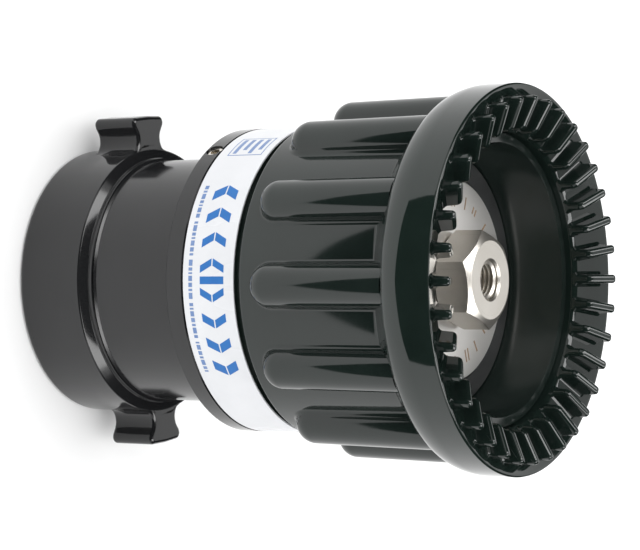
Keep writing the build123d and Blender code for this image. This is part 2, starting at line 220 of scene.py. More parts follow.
def buildToolMarks():
    # lathe marks: rings round the axis, across a flat face (Across 1) or along a barrel (Across 0)
    group, given, out = effectGroup("toolMarks", {"Spacing": 3000.0, "Across": 1.0}, ["Height", "Streaks"])
    place = addNode(group, "ShaderNodeTexCoord").outputs["Object"]
    parts = addNode(group, "ShaderNodeSeparateXYZ")
    group.links.new(place, parts.inputs[0])
    squared = [addMath(group, "POWER", parts.outputs[axis], 2.0) for axis in (0, 1)]
    radius = addMath(group, "SQRT", addMath(group, "ADD", squared[0], squared[1]))
    across = addMath(group, "MULTIPLY", radius, given.outputs["Across"])
    alongShare = addMath(group, "SUBTRACT", 1.0, given.outputs["Across"])
    along = addMath(group, "MULTIPLY", parts.outputs[2], alongShare)
    line = addNode(group, "ShaderNodeCombineXYZ")
    spaced = addMath(group, "MULTIPLY", addMath(group, "ADD", across, along), given.outputs["Spacing"])
    group.links.new(spaced, line.inputs[0])
    rings = addNode(group, "ShaderNodeTexNoise", {"Scale": lathe["scale"], "Detail": lathe["detail"],
                                                  "Roughness": lathe["roughness"]})
    group.links.new(line.outputs[0], rings.inputs["Vector"])
    group.links.new(rings.outputs["Fac"], out.inputs["Height"])
    group.links.new(remap(group, rings.outputs["Fac"], *lathe["range"]), out.inputs["Streaks"])
    return group


handling = {"liftRange": (0.2, 1.0), "blotchDetail": 6.0, "blotchRoughness": 0.7, "blotchRange": (0.45, 0.75),
            "fleckScale": 2600.0, "fleckDetail": 1.0, "fleckRange": (0.62, 0.74),
            "smearScale": 34.0, "smearDetail": 3.0, "smearRoughness": 0.6, "smearStretch": (1.0, 1.0, 0.35),
            "smearRange": (0.45, 0.7)}


def buildHandling():
    # dust and finger marks that settle in soft blotches, more on faces that look up
    group, given, out = effectGroup("handlingMarks", {"Scale": 60.0, "Upward": 0.35}, ["Dust", "Smears"])
    facing = addNode(group, "ShaderNodeSeparateXYZ")
    group.links.new(addNode(group, "ShaderNodeNewGeometry").outputs["Normal"], facing.inputs[0])
    upward = remap(group, facing.outputs[2], *handling["liftRange"])
    lift = addMath(group, "MULTIPLY", upward, given.outputs["Upward"])
    blotch = noiseField(group, given.outputs["Scale"], handling["blotchDetail"], handling["blotchRoughness"])
    blotch = remap(group, blotch, *handling["blotchRange"])
    fleck = noiseField(group, handling["fleckScale"], handling["fleckDetail"])
    fleck = remap(group, fleck, *handling["fleckRange"])
    dust = addMath(group, "MULTIPLY", addMath(group, "ADD", blotch, lift), fleck, clamp=True)
    group.links.new(dust, out.inputs["Dust"])
    smears = noiseField(group, handling["smearScale"], handling["smearDetail"], handling["smearRoughness"],
                        handling["smearStretch"])
    group.links.new(remap(group, smears, *handling["smearRange"]), out.inputs["Smears"])
    return group


effects = {"coatGrain": buildCoatGrain(), "edgeWear": buildEdgeWear(), "toolMarks": buildToolMarks(),
           "handlingMarks": buildHandling()}
print("effects built:", len(effects))


def placeEffect(tree, name, **values):
    node = addNode(tree, "ShaderNodeGroup", node_tree=effects[name])
    for key, value in values.items():
        node.inputs[key].default_value = value
    return node


def blendColour(tree, mask, under, over):
    node = addNode(tree, "ShaderNodeMix", data_type="RGBA")
    tree.links.new(mask, node.inputs["Factor"])
    for key, value in ((6, under), (7, over)):
        if isinstance(value, tuple):
            node.inputs[key].default_value = (*value, 1)
        else:
            tree.links.new(value, node.inputs[key])
    return node.outputs[2]


def bumpFrom(tree, height, strength, distance, under=None):
    node = addNode(tree, "ShaderNodeBump", {"Strength": strength, "Distance": distance * mm})
    tree.links.new(height, node.inputs["Height"])
    if under:
        tree.links.new(under, node.inputs["Normal"])
    return node.outputs[0]


def startFinish(name, sockets):
    finish = bpy.data.materials.new(name)
    finish.use_nodes = True
    shader = finish.node_tree.nodes["Principled BSDF"]
    for key, value in sockets.items():
        shader.inputs[key].default_value = value
    return finish, finish.node_tree, shader


def blackFinish(name, look):
    # a black coating or moulding: near-black body, clear reflections, fine peel, rubbed corners, a little dust
    finish, tree, shader = startFinish(name, {"Specular IOR Level": look["gloss"], "Metallic": 0.0})
    grain = placeEffect(tree, "coatGrain", Scale=look["grain"])
    wear = placeEffect(tree, "edgeWear", Start=look["wearStart"], End=look["wearEnd"])
    marks = placeEffect(tree, "handlingMarks")
    patched = tuple(c * look["patchLift"] for c in look["colour"])
    colour = blendColour(tree, grain.outputs["Patches"], look["colour"], patched)
    rubbed = addMath(tree, "MULTIPLY", wear.outputs["Mask"], look["wear"])
    colour = blendColour(tree, rubbed, colour, look["rubbed"])
    dusted = addMath(tree, "MULTIPLY", marks.outputs["Dust"], look["dust"])
    colour = blendColour(tree, dusted, colour, look["dustColour"])
    tree.links.new(colour, shader.inputs["Base Color"])
    satin = remap(tree, grain.outputs["Patches"], 0, 1, look["rough"], look["rough"] * look["roughSpread"])
    satin = addMath(tree, "ADD", satin, addMath(tree, "MULTIPLY", marks.outputs["Smears"], look["smear"]))
    satin = addMath(tree, "ADD", satin, addMath(tree, "MULTIPLY", wear.outputs["Mask"], look["wearRough"]))
    tree.links.new(satin, shader.inputs["Roughness"])
    normal = bumpFrom(tree, grain.outputs["Height"], look["peel"], look["peelDeep"])
    if look.get("turned"):
        rings = placeEffect(tree, "toolMarks", Spacing=look["ringSpacing"], Across=look["across"])
        normal = bumpFrom(tree, rings.outputs["Height"], look["turned"], look["ringDeep"], normal)
    tree.links.new(normal, shader.inputs["Normal"])
    return finish


blackLook = {"colour": (0.0066, 0.0105, 0.0092), "patchLift": 1.35, "gloss": 0.52,
             "rough": 0.05, "roughSpread": 1.3, "smear": 0.02, "grain": 1400.0, "peel": 0.03, "peelDeep": 0.02,
             "wearStart": 0.56, "wearEnd": 0.68, "wear": 0.35, "wearRough": 0.12, "rubbed": (0.09, 0.09, 0.092),
             "dust": 0.04, "dustColour": (0.3, 0.29, 0.27), "ringDeep": 0.02}
hardCoat = (0.0085, 0.0088, 0.0094)
couplingBlack = blackFinish("couplingBlack", {**blackLook, "colour": hardCoat, "rough": 0.08, "peel": 0.05})
barrelBlack = blackFinish("barrelBlack", {**blackLook, "colour": hardCoat, "rough": 0.14, "turned": 0.05,
                                          "ringSpacing": 5000.0, "across": 0.0})
sleeveBlack = blackFinish("sleeveBlack", {**blackLook, "colour": (0.007, 0.011, 0.0095), "rough": 0.14,
                                          "turned": 0.06, "ringSpacing": 5000.0, "across": 0.0})
gripBlack = blackFinish("gripBlack", blackLook)
bumperBlack = blackFinish("bumperBlack", {**blackLook, "colour": (0.006, 0.0105, 0.0088), "rough": 0.04,
                                          "grain": 1100.0})
seatGrey = blackFinish("seatGrey", {**blackLook, "colour": (0.014, 0.015, 0.015), "rough": 0.3,
                                    "turned": 0.12, "ringSpacing": 4000.0, "across": 1.0})


def rubberFinish(look):
    finish, tree, shader = startFinish("softRubber", {"Specular IOR Level": look["gloss"]})
    grain = placeEffect(tree, "coatGrain", Scale=look["grain"])
    colour = blendColour(tree, grain.outputs["Patches"], look["colour"], look["chalky"])
    tree.links.new(colour, shader.inputs["Base Color"])
    rough = remap(tree, grain.outputs["Patches"], 0, 1, look["rough"], look["chalkyRough"])
    tree.links.new(rough, shader.inputs["Roughness"])
    normal = bumpFrom(tree, grain.outputs["Height"], look["bump"], look["bumpDeep"])
    tree.links.new(normal, shader.inputs["Normal"])
    return finish


rubberLook = {"colour": (0.014, 0.014, 0.014), "chalky": (0.03, 0.03, 0.029), "grain": 2200.0,
              "gloss": 0.35, "rough": 0.55, "chalkyRough": 0.75, "bump": 0.25, "bumpDeep": 0.03}
softRubber = rubberFinish(rubberLook)


def metalFinish(name, look):
    # bare metal with its tool marks, slow stains and softly rubbed edges
    finish, tree, shader = startFinish(name, {"Metallic": 1.0})
    rings = placeEffect(tree, "toolMarks", Spacing=look["ringSpacing"], Across=look["across"])
    grain = placeEffect(tree, "coatGrain", Scale=look["grain"])
    wear = placeEffect(tree, "edgeWear", Start=look["wearStart"], End=look["wearEnd"])
    colour = blendColour(tree, grain.outputs["Patches"], look["colour"], look["stained"])
    rubbed = addMath(tree, "MULTIPLY", wear.outputs["Mask"], look["wear"])
    colour = blendColour(tree, rubbed, colour, look["bright"])
    tree.links.new(colour, shader.inputs["Base Color"])
    satin = remap(tree, rings.outputs["Streaks"], 0, 1, look["rough"], look["rough"] * look["roughSpread"])
    tree.links.new(satin, shader.inputs["Roughness"])
    normal = bumpFrom(tree, rings.outputs["Height"], look["turned"], look["ringDeep"])
    normal = bumpFrom(tree, grain.outputs["Height"], look["peel"], look["peelDeep"], normal)
    tree.links.new(normal, shader.inputs["Normal"])
    return finish


steelLook = {"colour": (0.66, 0.63, 0.58), "stained": (0.58, 0.55, 0.5), "bright": (0.85, 0.83, 0.8),
             "rough": 0.22, "roughSpread": 1.5, "ringSpacing": 4500.0, "across": 1.0, "turned": 0.12,
             "ringDeep": 0.02, "grain": 1800.0, "peel": 0.08, "peelDeep": 0.01,
             "wearStart": 0.53, "wearEnd": 0.62, "wear": 0.5}
plateSteel = metalFinish("plateSteel", {**steelLook, "colour": (0.88, 0.86, 0.83), "stained": (0.82, 0.8, 0.77),
                                        "rough": 0.28, "turned": 0.06})
nutSteel = metalFinish("nutSteel", {**steelLook, "rough": 0.26, "turned": 0.03, "peel": 0.03})
polishedSteel = metalFinish("polishedSteel", {**steelLook, "rough": 0.14, "turned": 0.04})
bareAlloy = metalFinish("bareAlloy", {**steelLook, "colour": (0.6, 0.6, 0.62), "stained": (0.5, 0.5, 0.52),
                                      "rough": 0.3, "across": 0.0})


def vinylFinish(look):
    finish, tree, shader = startFinish("labelVinyl", {"Specular IOR Level": look["gloss"]})
    grain = placeEffect(tree, "coatGrain", Scale=look["grain"])
    marks = placeEffect(tree, "handlingMarks", Scale=look["marks"])
    colour = blendColour(tree, grain.outputs["Patches"], look["colour"], look["aged"])
    dusted = addMath(tree, "MULTIPLY", marks.outputs["Dust"], look["dust"])
    colour = blendColour(tree, dusted, colour, look["dustColour"])
    tree.links.new(colour, shader.inputs["Base Color"])
    rough = remap(tree, marks.outputs["Smears"], 0, 1, look["rough"], look["smearRough"])
    tree.links.new(rough, shader.inputs["Roughness"])
    normal = bumpFrom(tree, grain.outputs["Height"], look["peel"], look["peelDeep"])
    tree.links.new(normal, shader.inputs["Normal"])
    return finish


vinylLook = {"colour": (0.63, 0.64, 0.66), "aged": (0.58, 0.59, 0.61), "grain": 700.0, "gloss": 0.5,
             "marks": 90.0, "dust": 0.12, "dustColour": (0.5, 0.49, 0.46), "rough": 0.25, "smearRough": 0.38,
             "peel": 0.05, "peelDeep": 0.02}
labelVinyl = vinylFinish(vinylLook)


def inkFinish(name, look):
    # printed or etched marks, slightly uneven in density
    finish, tree, shader = startFinish(name, {"Specular IOR Level": look["gloss"]})
    grain = placeEffect(tree, "coatGrain", Scale=look["grain"], **{"Patch Scale": look["patches"]})
    colour = blendColour(tree, grain.outputs["Patches"], look["colour"], look["thin"])
    tree.links.new(colour, shader.inputs["Base Color"])
    rough = remap(tree, grain.outputs["Patches"], 0, 1, look["rough"], look["rough"] + look["roughSpread"])
    tree.links.new(rough, shader.inputs["Roughness"])
    normal = bumpFrom(tree, grain.outputs["Height"], look["peel"], look["peelDeep"])
    tree.links.new(normal, shader.inputs["Normal"])
    return finish


inkLook = {"gloss": 0.5, "grain": 2600.0, "patches": 400.0, "rough": 0.35, "roughSpread": 0.12,
           "peel": 0.08, "peelDeep": 0.01}
blueInk = inkFinish("blueInk", {**inkLook, "colour": (0.0, 0.105, 0.36), "thin": (0.002, 0.125, 0.4)})
paleBlueInk = inkFinish("paleBlueInk", {**inkLook, "colour": (0.09, 0.17, 0.36), "thin": (0.15, 0.23, 0.42),
                                        "rough": 0.3})
etchedBrown = inkFinish("etchedBrown", {**inkLook, "colour": (0.16, 0.09, 0.04), "thin": (0.26, 0.17, 0.1)})
print("finishes built:", len(bpy.data.materials))

# swivel coupling with its rocker lugs and hose thread
coupling = {
    "section": [(40.6, 0, 0.3), (39.0, 1.6, 0.2), (39.0, 17.2, 0), (40.6, 17.2, 0), (40.6, 20.4, 0),
                (40.4, 20.4, 0), (40.4, 29.7, 0.2), (44.6, 29.7, 0.35), (44.6, 28.0, 0.25),
                (48.1, 26.2, 0.5), (48.1, 0, 2.0)],
    "thread": {"root": 39.0, "crest": 36.9, "flat": 0.32, "pitch": 3.39, "start": 4.0, "turns": 3.4,
               "stepsPerTurn": 96},
}
lug = {"angles": (185, 5), "rear": 7.9, "front": 26.2, "top": 60.2, "headHalf": 9.3, "headBase": 56.6,
       "bodyRadius": 48.1, "buried": 40, "rootReach": 51.73, "rootSide": 12.0, "rootSteps": 12,
       "neckAngle": 55, "cornerRound": 2.1, "lowerRound": 1.0, "cornerSegments": 7, "edgeRound": 1.5,
       "edgeSteps": 5, "crown": 0.35, "near": 0.01, "besideCentre": 1}


def cutLug():
    # half the outline is drawn on the rear plane and mirrored, then the slab is raised and its rims rounded
    bm = bmesh.new()
    rear = lug["rear"] * mm
    aim = math.atan2(lug["rootSide"], lug["rootReach"])
    foot = bm.verts.new((lug["bodyRadius"] * math.cos(aim) * mm, -lug["bodyRadius"] * math.sin(aim) * mm, rear))
    centre = (lug["rootReach"] * mm, -lug["rootSide"] * mm, rear)
    sweep = math.pi - aim - math.radians(lug["neckAngle"])
    bmesh.ops.spin(bm, geom=[foot], cent=centre, axis=(0, 0, 1), dvec=(0, 0, 0), angle=-sweep,
                   steps=lug["rootSteps"], use_merge=False, use_duplicate=False)
    neck = max(bm.verts, key=lambda vert: vert.co.x)
    path = [(lug["headBase"], -lug["headHalf"]), (lug["top"] - lug["crown"], -lug["headHalf"]), (lug["top"], 0)]
    for x, y in path:
        step = bm.verts.new((x * mm, y * mm, rear))
        bm.edges.new((neck, step))
        neck = step
    inside = bm.verts.new((lug["buried"] * mm, 0, rear))
    bm.edges.new((foot, inside))
    bmesh.ops.mirror(bm, geom=bm.verts[:] + bm.edges[:], axis="Y", merge_dist=mergeDistance)
    bmesh.ops.remove_doubles(bm, verts=bm.verts, dist=mergeDistance)
    above = (lug["headBase"] - lug["near"]) * mm
    below = (lug["headBase"] + lug["near"]) * mm
    corners = [v for v in bm.verts if v.co.x > above and abs(v.co.y) > lug["besideCentre"] * mm]
    for corner in corners:
        rounding = lug["lowerRound"] if corner.co.x < below else lug["cornerRound"]
        roundCorner(bm, corner, rounding, lug["cornerSegments"])
    bmesh.ops.contextual_create(bm, geom=bm.edges[:])
    raised = bmesh.ops.extrude_face_region(bm, geom=bm.faces[:])
    lift = [g for g in raised["geom"] if isinstance(g, bmesh.types.BMVert)]
    slab = lug["front"] - lug["rear"] - 2 * lug["edgeRound"]
    bmesh.ops.translate(bm, vec=(0, 0, lug["edgeRound"] * mm), verts=bm.verts)
    bmesh.ops.translate(bm, vec=(0, 0, slab * mm), verts=lift)
    bmesh.ops.recalc_face_normals(bm, faces=bm.faces)
    for cap in [face for face in bm.faces if abs(face.normal.z) > 0.9]:
        for step in range(lug["edgeSteps"]):
            start, end = [math.pi / 2 * (step + more) / lug["edgeSteps"] for more in (0, 1)]
            bmesh.ops.inset_region(bm, faces=[cap], use_even_offset=True, use_boundary=True,
                                   thickness=lug["edgeRound"] * mm * (math.cos(start) - math.cos(end)),
                                   depth=lug["edgeRound"] * mm * (math.sin(end) - math.sin(start)))
    return bm


couplingMesh = turnSection(coupling["section"])
addInto(couplingMesh, cutThread(coupling["thread"]))
for lugAngle in lug["angles"]:
    addInto(couplingMesh, cutLug(), math.radians(lugAngle))
finishPiece("swivelCoupling", couplingMesh, couplingBlack, "coupling", ["swivel_coupling"])
print("coupling done")

# ribbed grip
grip = {
    "section": [(50.0, 98.6, 0.2), (54.85, 98.6, 0.8), (54.84, 99.8, 0), (54.41, 149.3, 0),
                (54.4, 150.5, 0.4), (61.0, 157.0, 0.4), (61.0, 157.4, 0.1), (50.0, 157.4, 0.2)],
    "floorRear": 54.85, "floorFront": 54.4, "floorStart": 98.6, "floorEnd": 150.5, "crease": 40,
}
rib = {"count": 12, "phase": 271.5, "crest": 62.0, "curve": 7.3, "centre": 54.7, "rootRound": 1.8,
       "noseCentre": 111.6, "front": 157.4, "wrap": 55.3, "frontRise": 0.65, "domeSteps": 14, "rootSteps": 6,
       "noseSteps": 40, "lengthCuts": 7, "longEdge": 30, "near": 0.01, "sink": 0.03}


def gripFloor(height):
    share = (height - grip["floorStart"]) / (grip["floorEnd"] - grip["floorStart"])
    return grip["floorRear"] + (grip["floorFront"] - grip["floorRear"]) * min(1, max(0, share))


def cutRib():
    # drawn on a flat floor (x outwards, y sideways, z along), then wrapped round the grip
    bm = bmesh.new()
    floor = rib["wrap"]
    nose = rib["noseCentre"] * mm
    drop = floor + rib["rootRound"] - rib["centre"]
    reach = rib["curve"] + rib["rootRound"]
    lean = math.acos(drop / reach)
    foot = math.sqrt(reach ** 2 - drop ** 2)
    top = bm.verts.new((rib["crest"] * mm, 0, nose))
    dome = bmesh.ops.spin(bm, geom=[top], cent=(rib["centre"] * mm, 0, nose), axis=(0, 0, 1), dvec=(0, 0, 0),
                          angle=lean, steps=rib["domeSteps"], use_merge=False, use_duplicate=False)
    last = [g for g in dome["geom_last"] if isinstance(g, bmesh.types.BMVert)]
    rootCentre = ((floor + rib["rootRound"]) * mm, foot * mm, nose)
    bmesh.ops.spin(bm, geom=last, cent=rootCentre, axis=(0, 0, 1), dvec=(0, 0, 0), angle=-lean,
                   steps=rib["rootSteps"], use_merge=False, use_duplicate=False)
    profile = bm.verts[:] + bm.edges[:]
    bmesh.ops.spin(bm, geom=profile, cent=(0, 0, nose), axis=(1, 0, 0), dvec=(0, 0, 0), angle=-math.pi,
                   steps=rib["noseSteps"], use_merge=False, use_duplicate=False)
    bmesh.ops.remove_doubles(bm, verts=bm.verts, dist=mergeDistance)
    ends = [e for e in bm.edges if e.is_boundary and all(abs(v.co.z - nose) < mergeDistance for v in e.verts)]
    grown = bmesh.ops.extrude_edge_only(bm, edges=ends)
    ahead = [g for g in grown["geom"] if isinstance(g, bmesh.types.BMVert)]
    bmesh.ops.translate(bm, vec=(0, 0, (rib["front"] - rib["noseCentre"]) * mm), verts=ahead)
    long = [e for e in bm.edges if abs(e.verts[0].co.z - e.verts[1].co.z) > rib["longEdge"] * mm]
    bmesh.ops.subdivide_edges(bm, edges=long, cuts=rib["lengthCuts"], use_grid_fill=True)
    frontLine = (rib["front"] - rib["near"]) * mm
    frontEdges = [e for e in bm.edges if e.is_boundary and all(v.co.z > frontLine for v in e.verts)]
    frontEnds = sorted({v for e in frontEdges for v in e.verts}, key=lambda vert: vert.co.y)
    sill = bm.edges.new((frontEnds[0], frontEnds[-1]))
    bmesh.ops.contextual_create(bm, geom=frontEdges + [sill])
    bmesh.ops.holes_fill(bm, edges=[e for e in bm.edges if e.is_boundary], sides=0)
    bmesh.ops.recalc_face_normals(bm, faces=bm.faces)
    rootTop = floor + rib["rootRound"] * (1 - math.cos(lean))
    for vert in bm.verts:
        # the root follows the grip's floor, the crest rises towards the front, then the rib is wrapped
        height = vert.co.x / mm
        share = min(1, max(0, (rootTop - height) / (rootTop - floor)))
        height += (gripFloor(vert.co.z / mm) - floor - rib["sink"]) * share
        along = max(0, vert.co.z / mm - rib["noseCentre"]) / (rib["front"] - rib["noseCentre"])
        height += rib["frontRise"] * along * (1 - share) * (height - floor) / (rib["crest"] - floor)
        angle = vert.co.y / mm / rib["wrap"]
        vert.co.x = height * mm * math.cos(angle)
        vert.co.y = height * mm * math.sin(angle)
    return bm


gripMesh = turnSection(grip["section"])
for index in range(rib["count"]):
    addInto(gripMesh, cutRib(), math.radians(rib["phase"]) + fullTurn * index / rib["count"])
finishPiece("ribbedGrip", gripMesh, gripBlack, "shaper", ["ribbed_grip"],
            crease=grip["crease"], evened=False)
print("grip done")

# bumper with its fog teeth
bumper = {"inner": 50.05, "rear": 157.5, "rearRound": 0.2, "rearRadius": 61.5, "lip": 66.0, "shoulder": 10.0,
          "shoulderSteps": 14, "crease": 40,
          "front": [(66.0, 176.5, 0.15), (65.6, 177.0, 0.2), (64.9, 177.0, 0.35), (51.0, 171.4, 0.7),
                    (50.05, 170.2, 0.2)]}
tooth = {"count": 36, "phase": 90, "half": 1.55, "round": 1.2, "roundSegments": 5, "backSegments": 6,
         "profile": [(50.1, 168.0, 0), (50.2, 177.15, 1.5), (61.7, 182.75, 2.3), (62.1, 172.0, 0)],
         "rimFrom": 173, "rimAngle": 0.5, "draft": 0.05, "draftBelow": 4, "dishRadius": 51.0,
         "dishHeight": 171.4, "dishSlope": 0.403,
         "roots": ((1.1, 0.0), (0.55, 0.25), (0.15, 0.75), (-0.3, 1.2))}


def bumperOutline():
    # flat rear face, a shoulder that swells to the full radius, the plain wall, the lip and the dished front
    outline = [(bumper["inner"], bumper["rear"], bumper["rearRound"])]
    for index in range(bumper["shoulderSteps"] + 1):
        turn = math.pi / 2 * index / bumper["shoulderSteps"]
        radius = bumper["rearRadius"] + (bumper["lip"] - bumper["rearRadius"]) * math.sin(turn)
        outline.append((radius, bumper["rear"] + bumper["shoulder"] * (1 - math.cos(turn)), 0))
    return outline + bumper["front"]


def rootFlare(above):
    # how far a tooth's root spreads to each side, by its height above the dish
    for (high, narrow), (low, wide) in zip(tooth["roots"], tooth["roots"][1:]):
        if low <= above <= high:
            return narrow + (wide - narrow) * (high - above) / (high - low)
    lowest, widest = tooth["roots"][-1]
    return widest if above < lowest else 0


def cutTooth():
    # a bar with a round back: its side view is drawn, thickened, rounded, then flared where it meets the dish
    bm = bmesh.new()
    corners = [bm.verts.new((radius * mm, -tooth["half"] * mm, height * mm))
               for radius, height, rounding in tooth["profile"]]
    for index, corner in enumerate(corners):
        bm.edges.new((corners[index - 1], corner))
    for corner, (radius, height, rounding) in zip(corners, tooth["profile"]):
        roundCorner(bm, corner, rounding, tooth["backSegments"])
    bmesh.ops.contextual_create(bm, geom=bm.edges[:])
    grown = bmesh.ops.extrude_face_region(bm, geom=bm.faces[:])
    far = [g for g in grown["geom"] if isinstance(g, bmesh.types.BMVert)]
    bmesh.ops.translate(bm, vec=(0, 2 * tooth["half"] * mm, 0), verts=far)
    bmesh.ops.recalc_face_normals(bm, faces=bm.faces)
    rims = [e for e in bm.edges if abs(e.verts[0].co.y - e.verts[1].co.y) < mergeDistance
            and e.calc_face_angle(0) > tooth["rimAngle"]
            and max(v.co.z for v in e.verts) > tooth["rimFrom"] * mm]
    softenEdges(bm, rims, tooth["round"], tooth["roundSegments"], clamped=False)
    slope = tooth["dishSlope"]
    for height, flare in tooth["roots"]:
        bmesh.ops.bisect_plane(bm, geom=bm.verts[:] + bm.edges[:] + bm.faces[:], dist=cutDistance,
                               plane_no=(-slope, 0, 1),
                               plane_co=(tooth["dishRadius"] * mm, 0, (tooth["dishHeight"] + height) * mm))
    for vert in bm.verts:
        above = (vert.co.z / mm - tooth["dishHeight"]) - slope * (vert.co.x / mm - tooth["dishRadius"])
        spread = 1 + tooth["draft"] * max(0, tooth["draftBelow"] - above)
        vert.co.y = vert.co.y * spread + math.copysign(rootFlare(above) * mm, vert.co.y)
    return bm


bumperMesh = turnSection(bumperOutline())
for index in range(tooth["count"]):
    addInto(bumperMesh, cutTooth(), math.radians(tooth["phase"]) + fullTurn * index / tooth["count"])
finishPiece("bumper", bumperMesh, bumperBlack, "shaper", ["bumper"], crease=bumper["crease"])
print("bumper done")

# baffle nut with its tapped hole, and the plate's etched ring
nut = {"flats": 29.7, "base": 150.4, "top": 164.2, "face": 13.3, "slope": 0.5, "barrel": 20, "overlap": 0.01,
       "hole": 6.5, "mouth": 7.3, "mouthDeep": 0.8, "mouthRound": 0.15, "turn": 39, "steps": 120,
       "edgeRound": 0.16, "edgeSegments": 2, "edgeAngle": 12, "edgeFrom": 9, "crease": 25,
       "thread": {"root": 6.45, "crest": 5.45, "flat": 0.14, "pitch": 1.6, "start": 156.9, "turns": 4.0,
                  "stepsPerTurn": 40}}


def cutNut():
    bm = bmesh.new()
    corner = nut["flats"] / math.sqrt(3)
    middle = (nut["base"] + nut["top"]) / 2
    bmesh.ops.create_cone(bm, cap_ends=True, cap_tris=False, segments=6, radius1=corner * mm,
                          radius2=corner * mm, depth=(nut["top"] - nut["base"]) * mm,
                          matrix=Matrix.Translation((0, 0, middle * mm)))
    bmesh.ops.rotate(bm, verts=bm.verts, cent=(0, 0, 0),
                     matrix=Matrix.Rotation(math.radians(nut["turn"]), 3, "Z"))
    return bm


def chamferTool():
    # what the turned chamfers leave of the bar: a barrel with coned ends and the hole through it
    drop = (nut["barrel"] - nut["face"]) * nut["slope"]
    under = nut["base"] - nut["overlap"]
    return turnSection([(nut["hole"], under, 0), (nut["face"], under, 0),
                        (nut["barrel"], nut["base"] + drop, 0), (nut["barrel"], nut["top"] - drop, 0),
                        (nut["face"], nut["top"], 0), (nut["mouth"], nut["top"], nut["mouthRound"]),
                        (nut["hole"], nut["top"] - nut["mouthDeep"], 0)], nut["steps"])


def outerCorners(bm):
    # the nut's outside edges that are sharp enough to be rounded
    found = []
    for edge in bm.edges:
        middle = (edge.verts[0].co + edge.verts[1].co) / 2
        outside = math.hypot(middle.x, middle.y) > nut["edgeFrom"] * mm
        if outside and len(edge.link_faces) == 2 and edge.calc_face_angle(0) > math.radians(nut["edgeAngle"]):
            found.append(edge)
    return found


bar = meshObject("hexBar", cutNut())
tool = meshObject("chamferTool", chamferTool())
trim = bar.modifiers.new("trim", "BOOLEAN")
trim.operation = "INTERSECT"
trim.solver = "EXACT"
trim.object = tool
bpy.context.view_layer.update()
trimmed = bar.evaluated_get(bpy.context.evaluated_depsgraph_get())
nutMesh = bmesh.new()
nutMesh.from_mesh(trimmed.to_mesh())
trimmed.to_mesh_clear()
bpy.data.objects.remove(bar)
bpy.data.objects.remove(tool)
bmesh.ops.remove_doubles(nutMesh, verts=nutMesh.verts, dist=mergeDistance)
softenEdges(nutMesh, outerCorners(nutMesh), nut["edgeRound"], nut["edgeSegments"])
addInto(nutMesh, cutThread(nut["thread"]))
finishPiece("baffleNut", nutMesh, nutSteel, "base", ["baffle_nut"], crease=nut["crease"])

plateMarks = {"radius": 27.2, "top": 150.4, "proud": 0.02, "length": 4.4, "shortShare": 0.6, "wide": 0.75,
              "count": 22, "rows": (0.0, 1.9)}


def etchMarks():
    # strokes pointing out from the axis, every other one doubled and every third one shorter
    bm = bmesh.new()
    for index in range(plateMarks["count"]):
        turn = fullTurn * index / plateMarks["count"]
        tall = plateMarks["length"] if index % 3 else plateMarks["length"] * plateMarks["shortShare"]
        size = (tall * mm, plateMarks["wide"] * mm, 2 * plateMarks["proud"] * mm)
        for row in plateMarks["rows"] if index % 2 else plateMarks["rows"][:1]:
            stroke = bmesh.ops.create_cube(bm, size=1)["verts"]
            place = (plateMarks["radius"] * mm, row * mm, plateMarks["top"] * mm)
            bmesh.ops.scale(bm, vec=size, verts=stroke)
            bmesh.ops.translate(bm, vec=place, verts=stroke)
            bmesh.ops.rotate(bm, verts=stroke, cent=(0, 0, 0), matrix=Matrix.Rotation(turn, 3, "Z"))
    return bm


finishPiece("plateMarks", etchMarks(), etchedBrown, "base", [])
print("baffle done")

# label print: chevrons, dashes and a framed panel, all plain shapes
label = {"radius": 53.8, "facing": -90, "proud": 0.03, "bendEvery": 1.2}
chevron = {"start": -37.0, "end": 36.5, "lower": 82.2, "upper": 91.8, "count": 8, "stroke": (2.5, 3.7),
           "lean": 2.4, "slit": 0.5, "middleBar": 2.6, "firstGap": 1.2, "stepTrim": 0.4}
dash = {"height": 78.3, "tall": 1.5, "widths": (1.5, 0.8, 2.1, 1.1, 0.6, 1.8), "gap": 0.55, "groupGap": 1.4,
        "groupSize": 7}
panel = {"start": -66.0, "end": -53.0, "low": 79.0, "high": 93.0, "line": 0.35, "bars": 4, "barTall": 1.5,
         "inset": 1.2, "shorter": 2.2}
arc = math.radians(1) * label["radius"]  # mm along the label for each degree round it


def printShape(bm, corners):
    # a flat shape from its corners, cut along its length so that it bends with the band
    shape = bm.faces.new([bm.verts.new((x * mm, y * mm, 0)) for x, y in corners])
    low, high = min(x for x, y in corners), max(x for x, y in corners)
    count = max(1, int((high - low) / label["bendEvery"]))
    geom = [shape, *shape.edges, *shape.verts]
    for index in range(1, count):
        x = low + (high - low) * index / count
        cut = bmesh.ops.bisect_plane(bm, geom=geom, plane_co=(x * mm, 0, 0), plane_no=(1, 0, 0),
                                     dist=cutDistance)
        geom = [g for g in cut["geom"] if g.is_valid]


def printBar(bm, left, right, bottom, top):
    printShape(bm, [(left, bottom), (right, bottom), (right, top), (left, top)])


def raisePrint(bm):
    # thickens the flat print, then wraps it: x is arc length and y is height until both go round the band
    raised = bmesh.ops.extrude_face_region(bm, geom=bm.faces[:])
    lift = [g for g in raised["geom"] if isinstance(g, bmesh.types.BMVert)]
    for vert in bm.verts:
        vert.co.z = -1
    for vert in lift:
        vert.co.z = 1
    for vert in bm.verts:
        angle = math.radians(label["facing"]) + vert.co.x / (label["radius"] * mm)
        radius = label["radius"] * mm + vert.co.z * label["proud"] * mm
        vert.co = Vector((radius * math.cos(angle), radius * math.sin(angle), vert.co.y))
    bmesh.ops.recalc_face_normals(bm, faces=bm.faces)


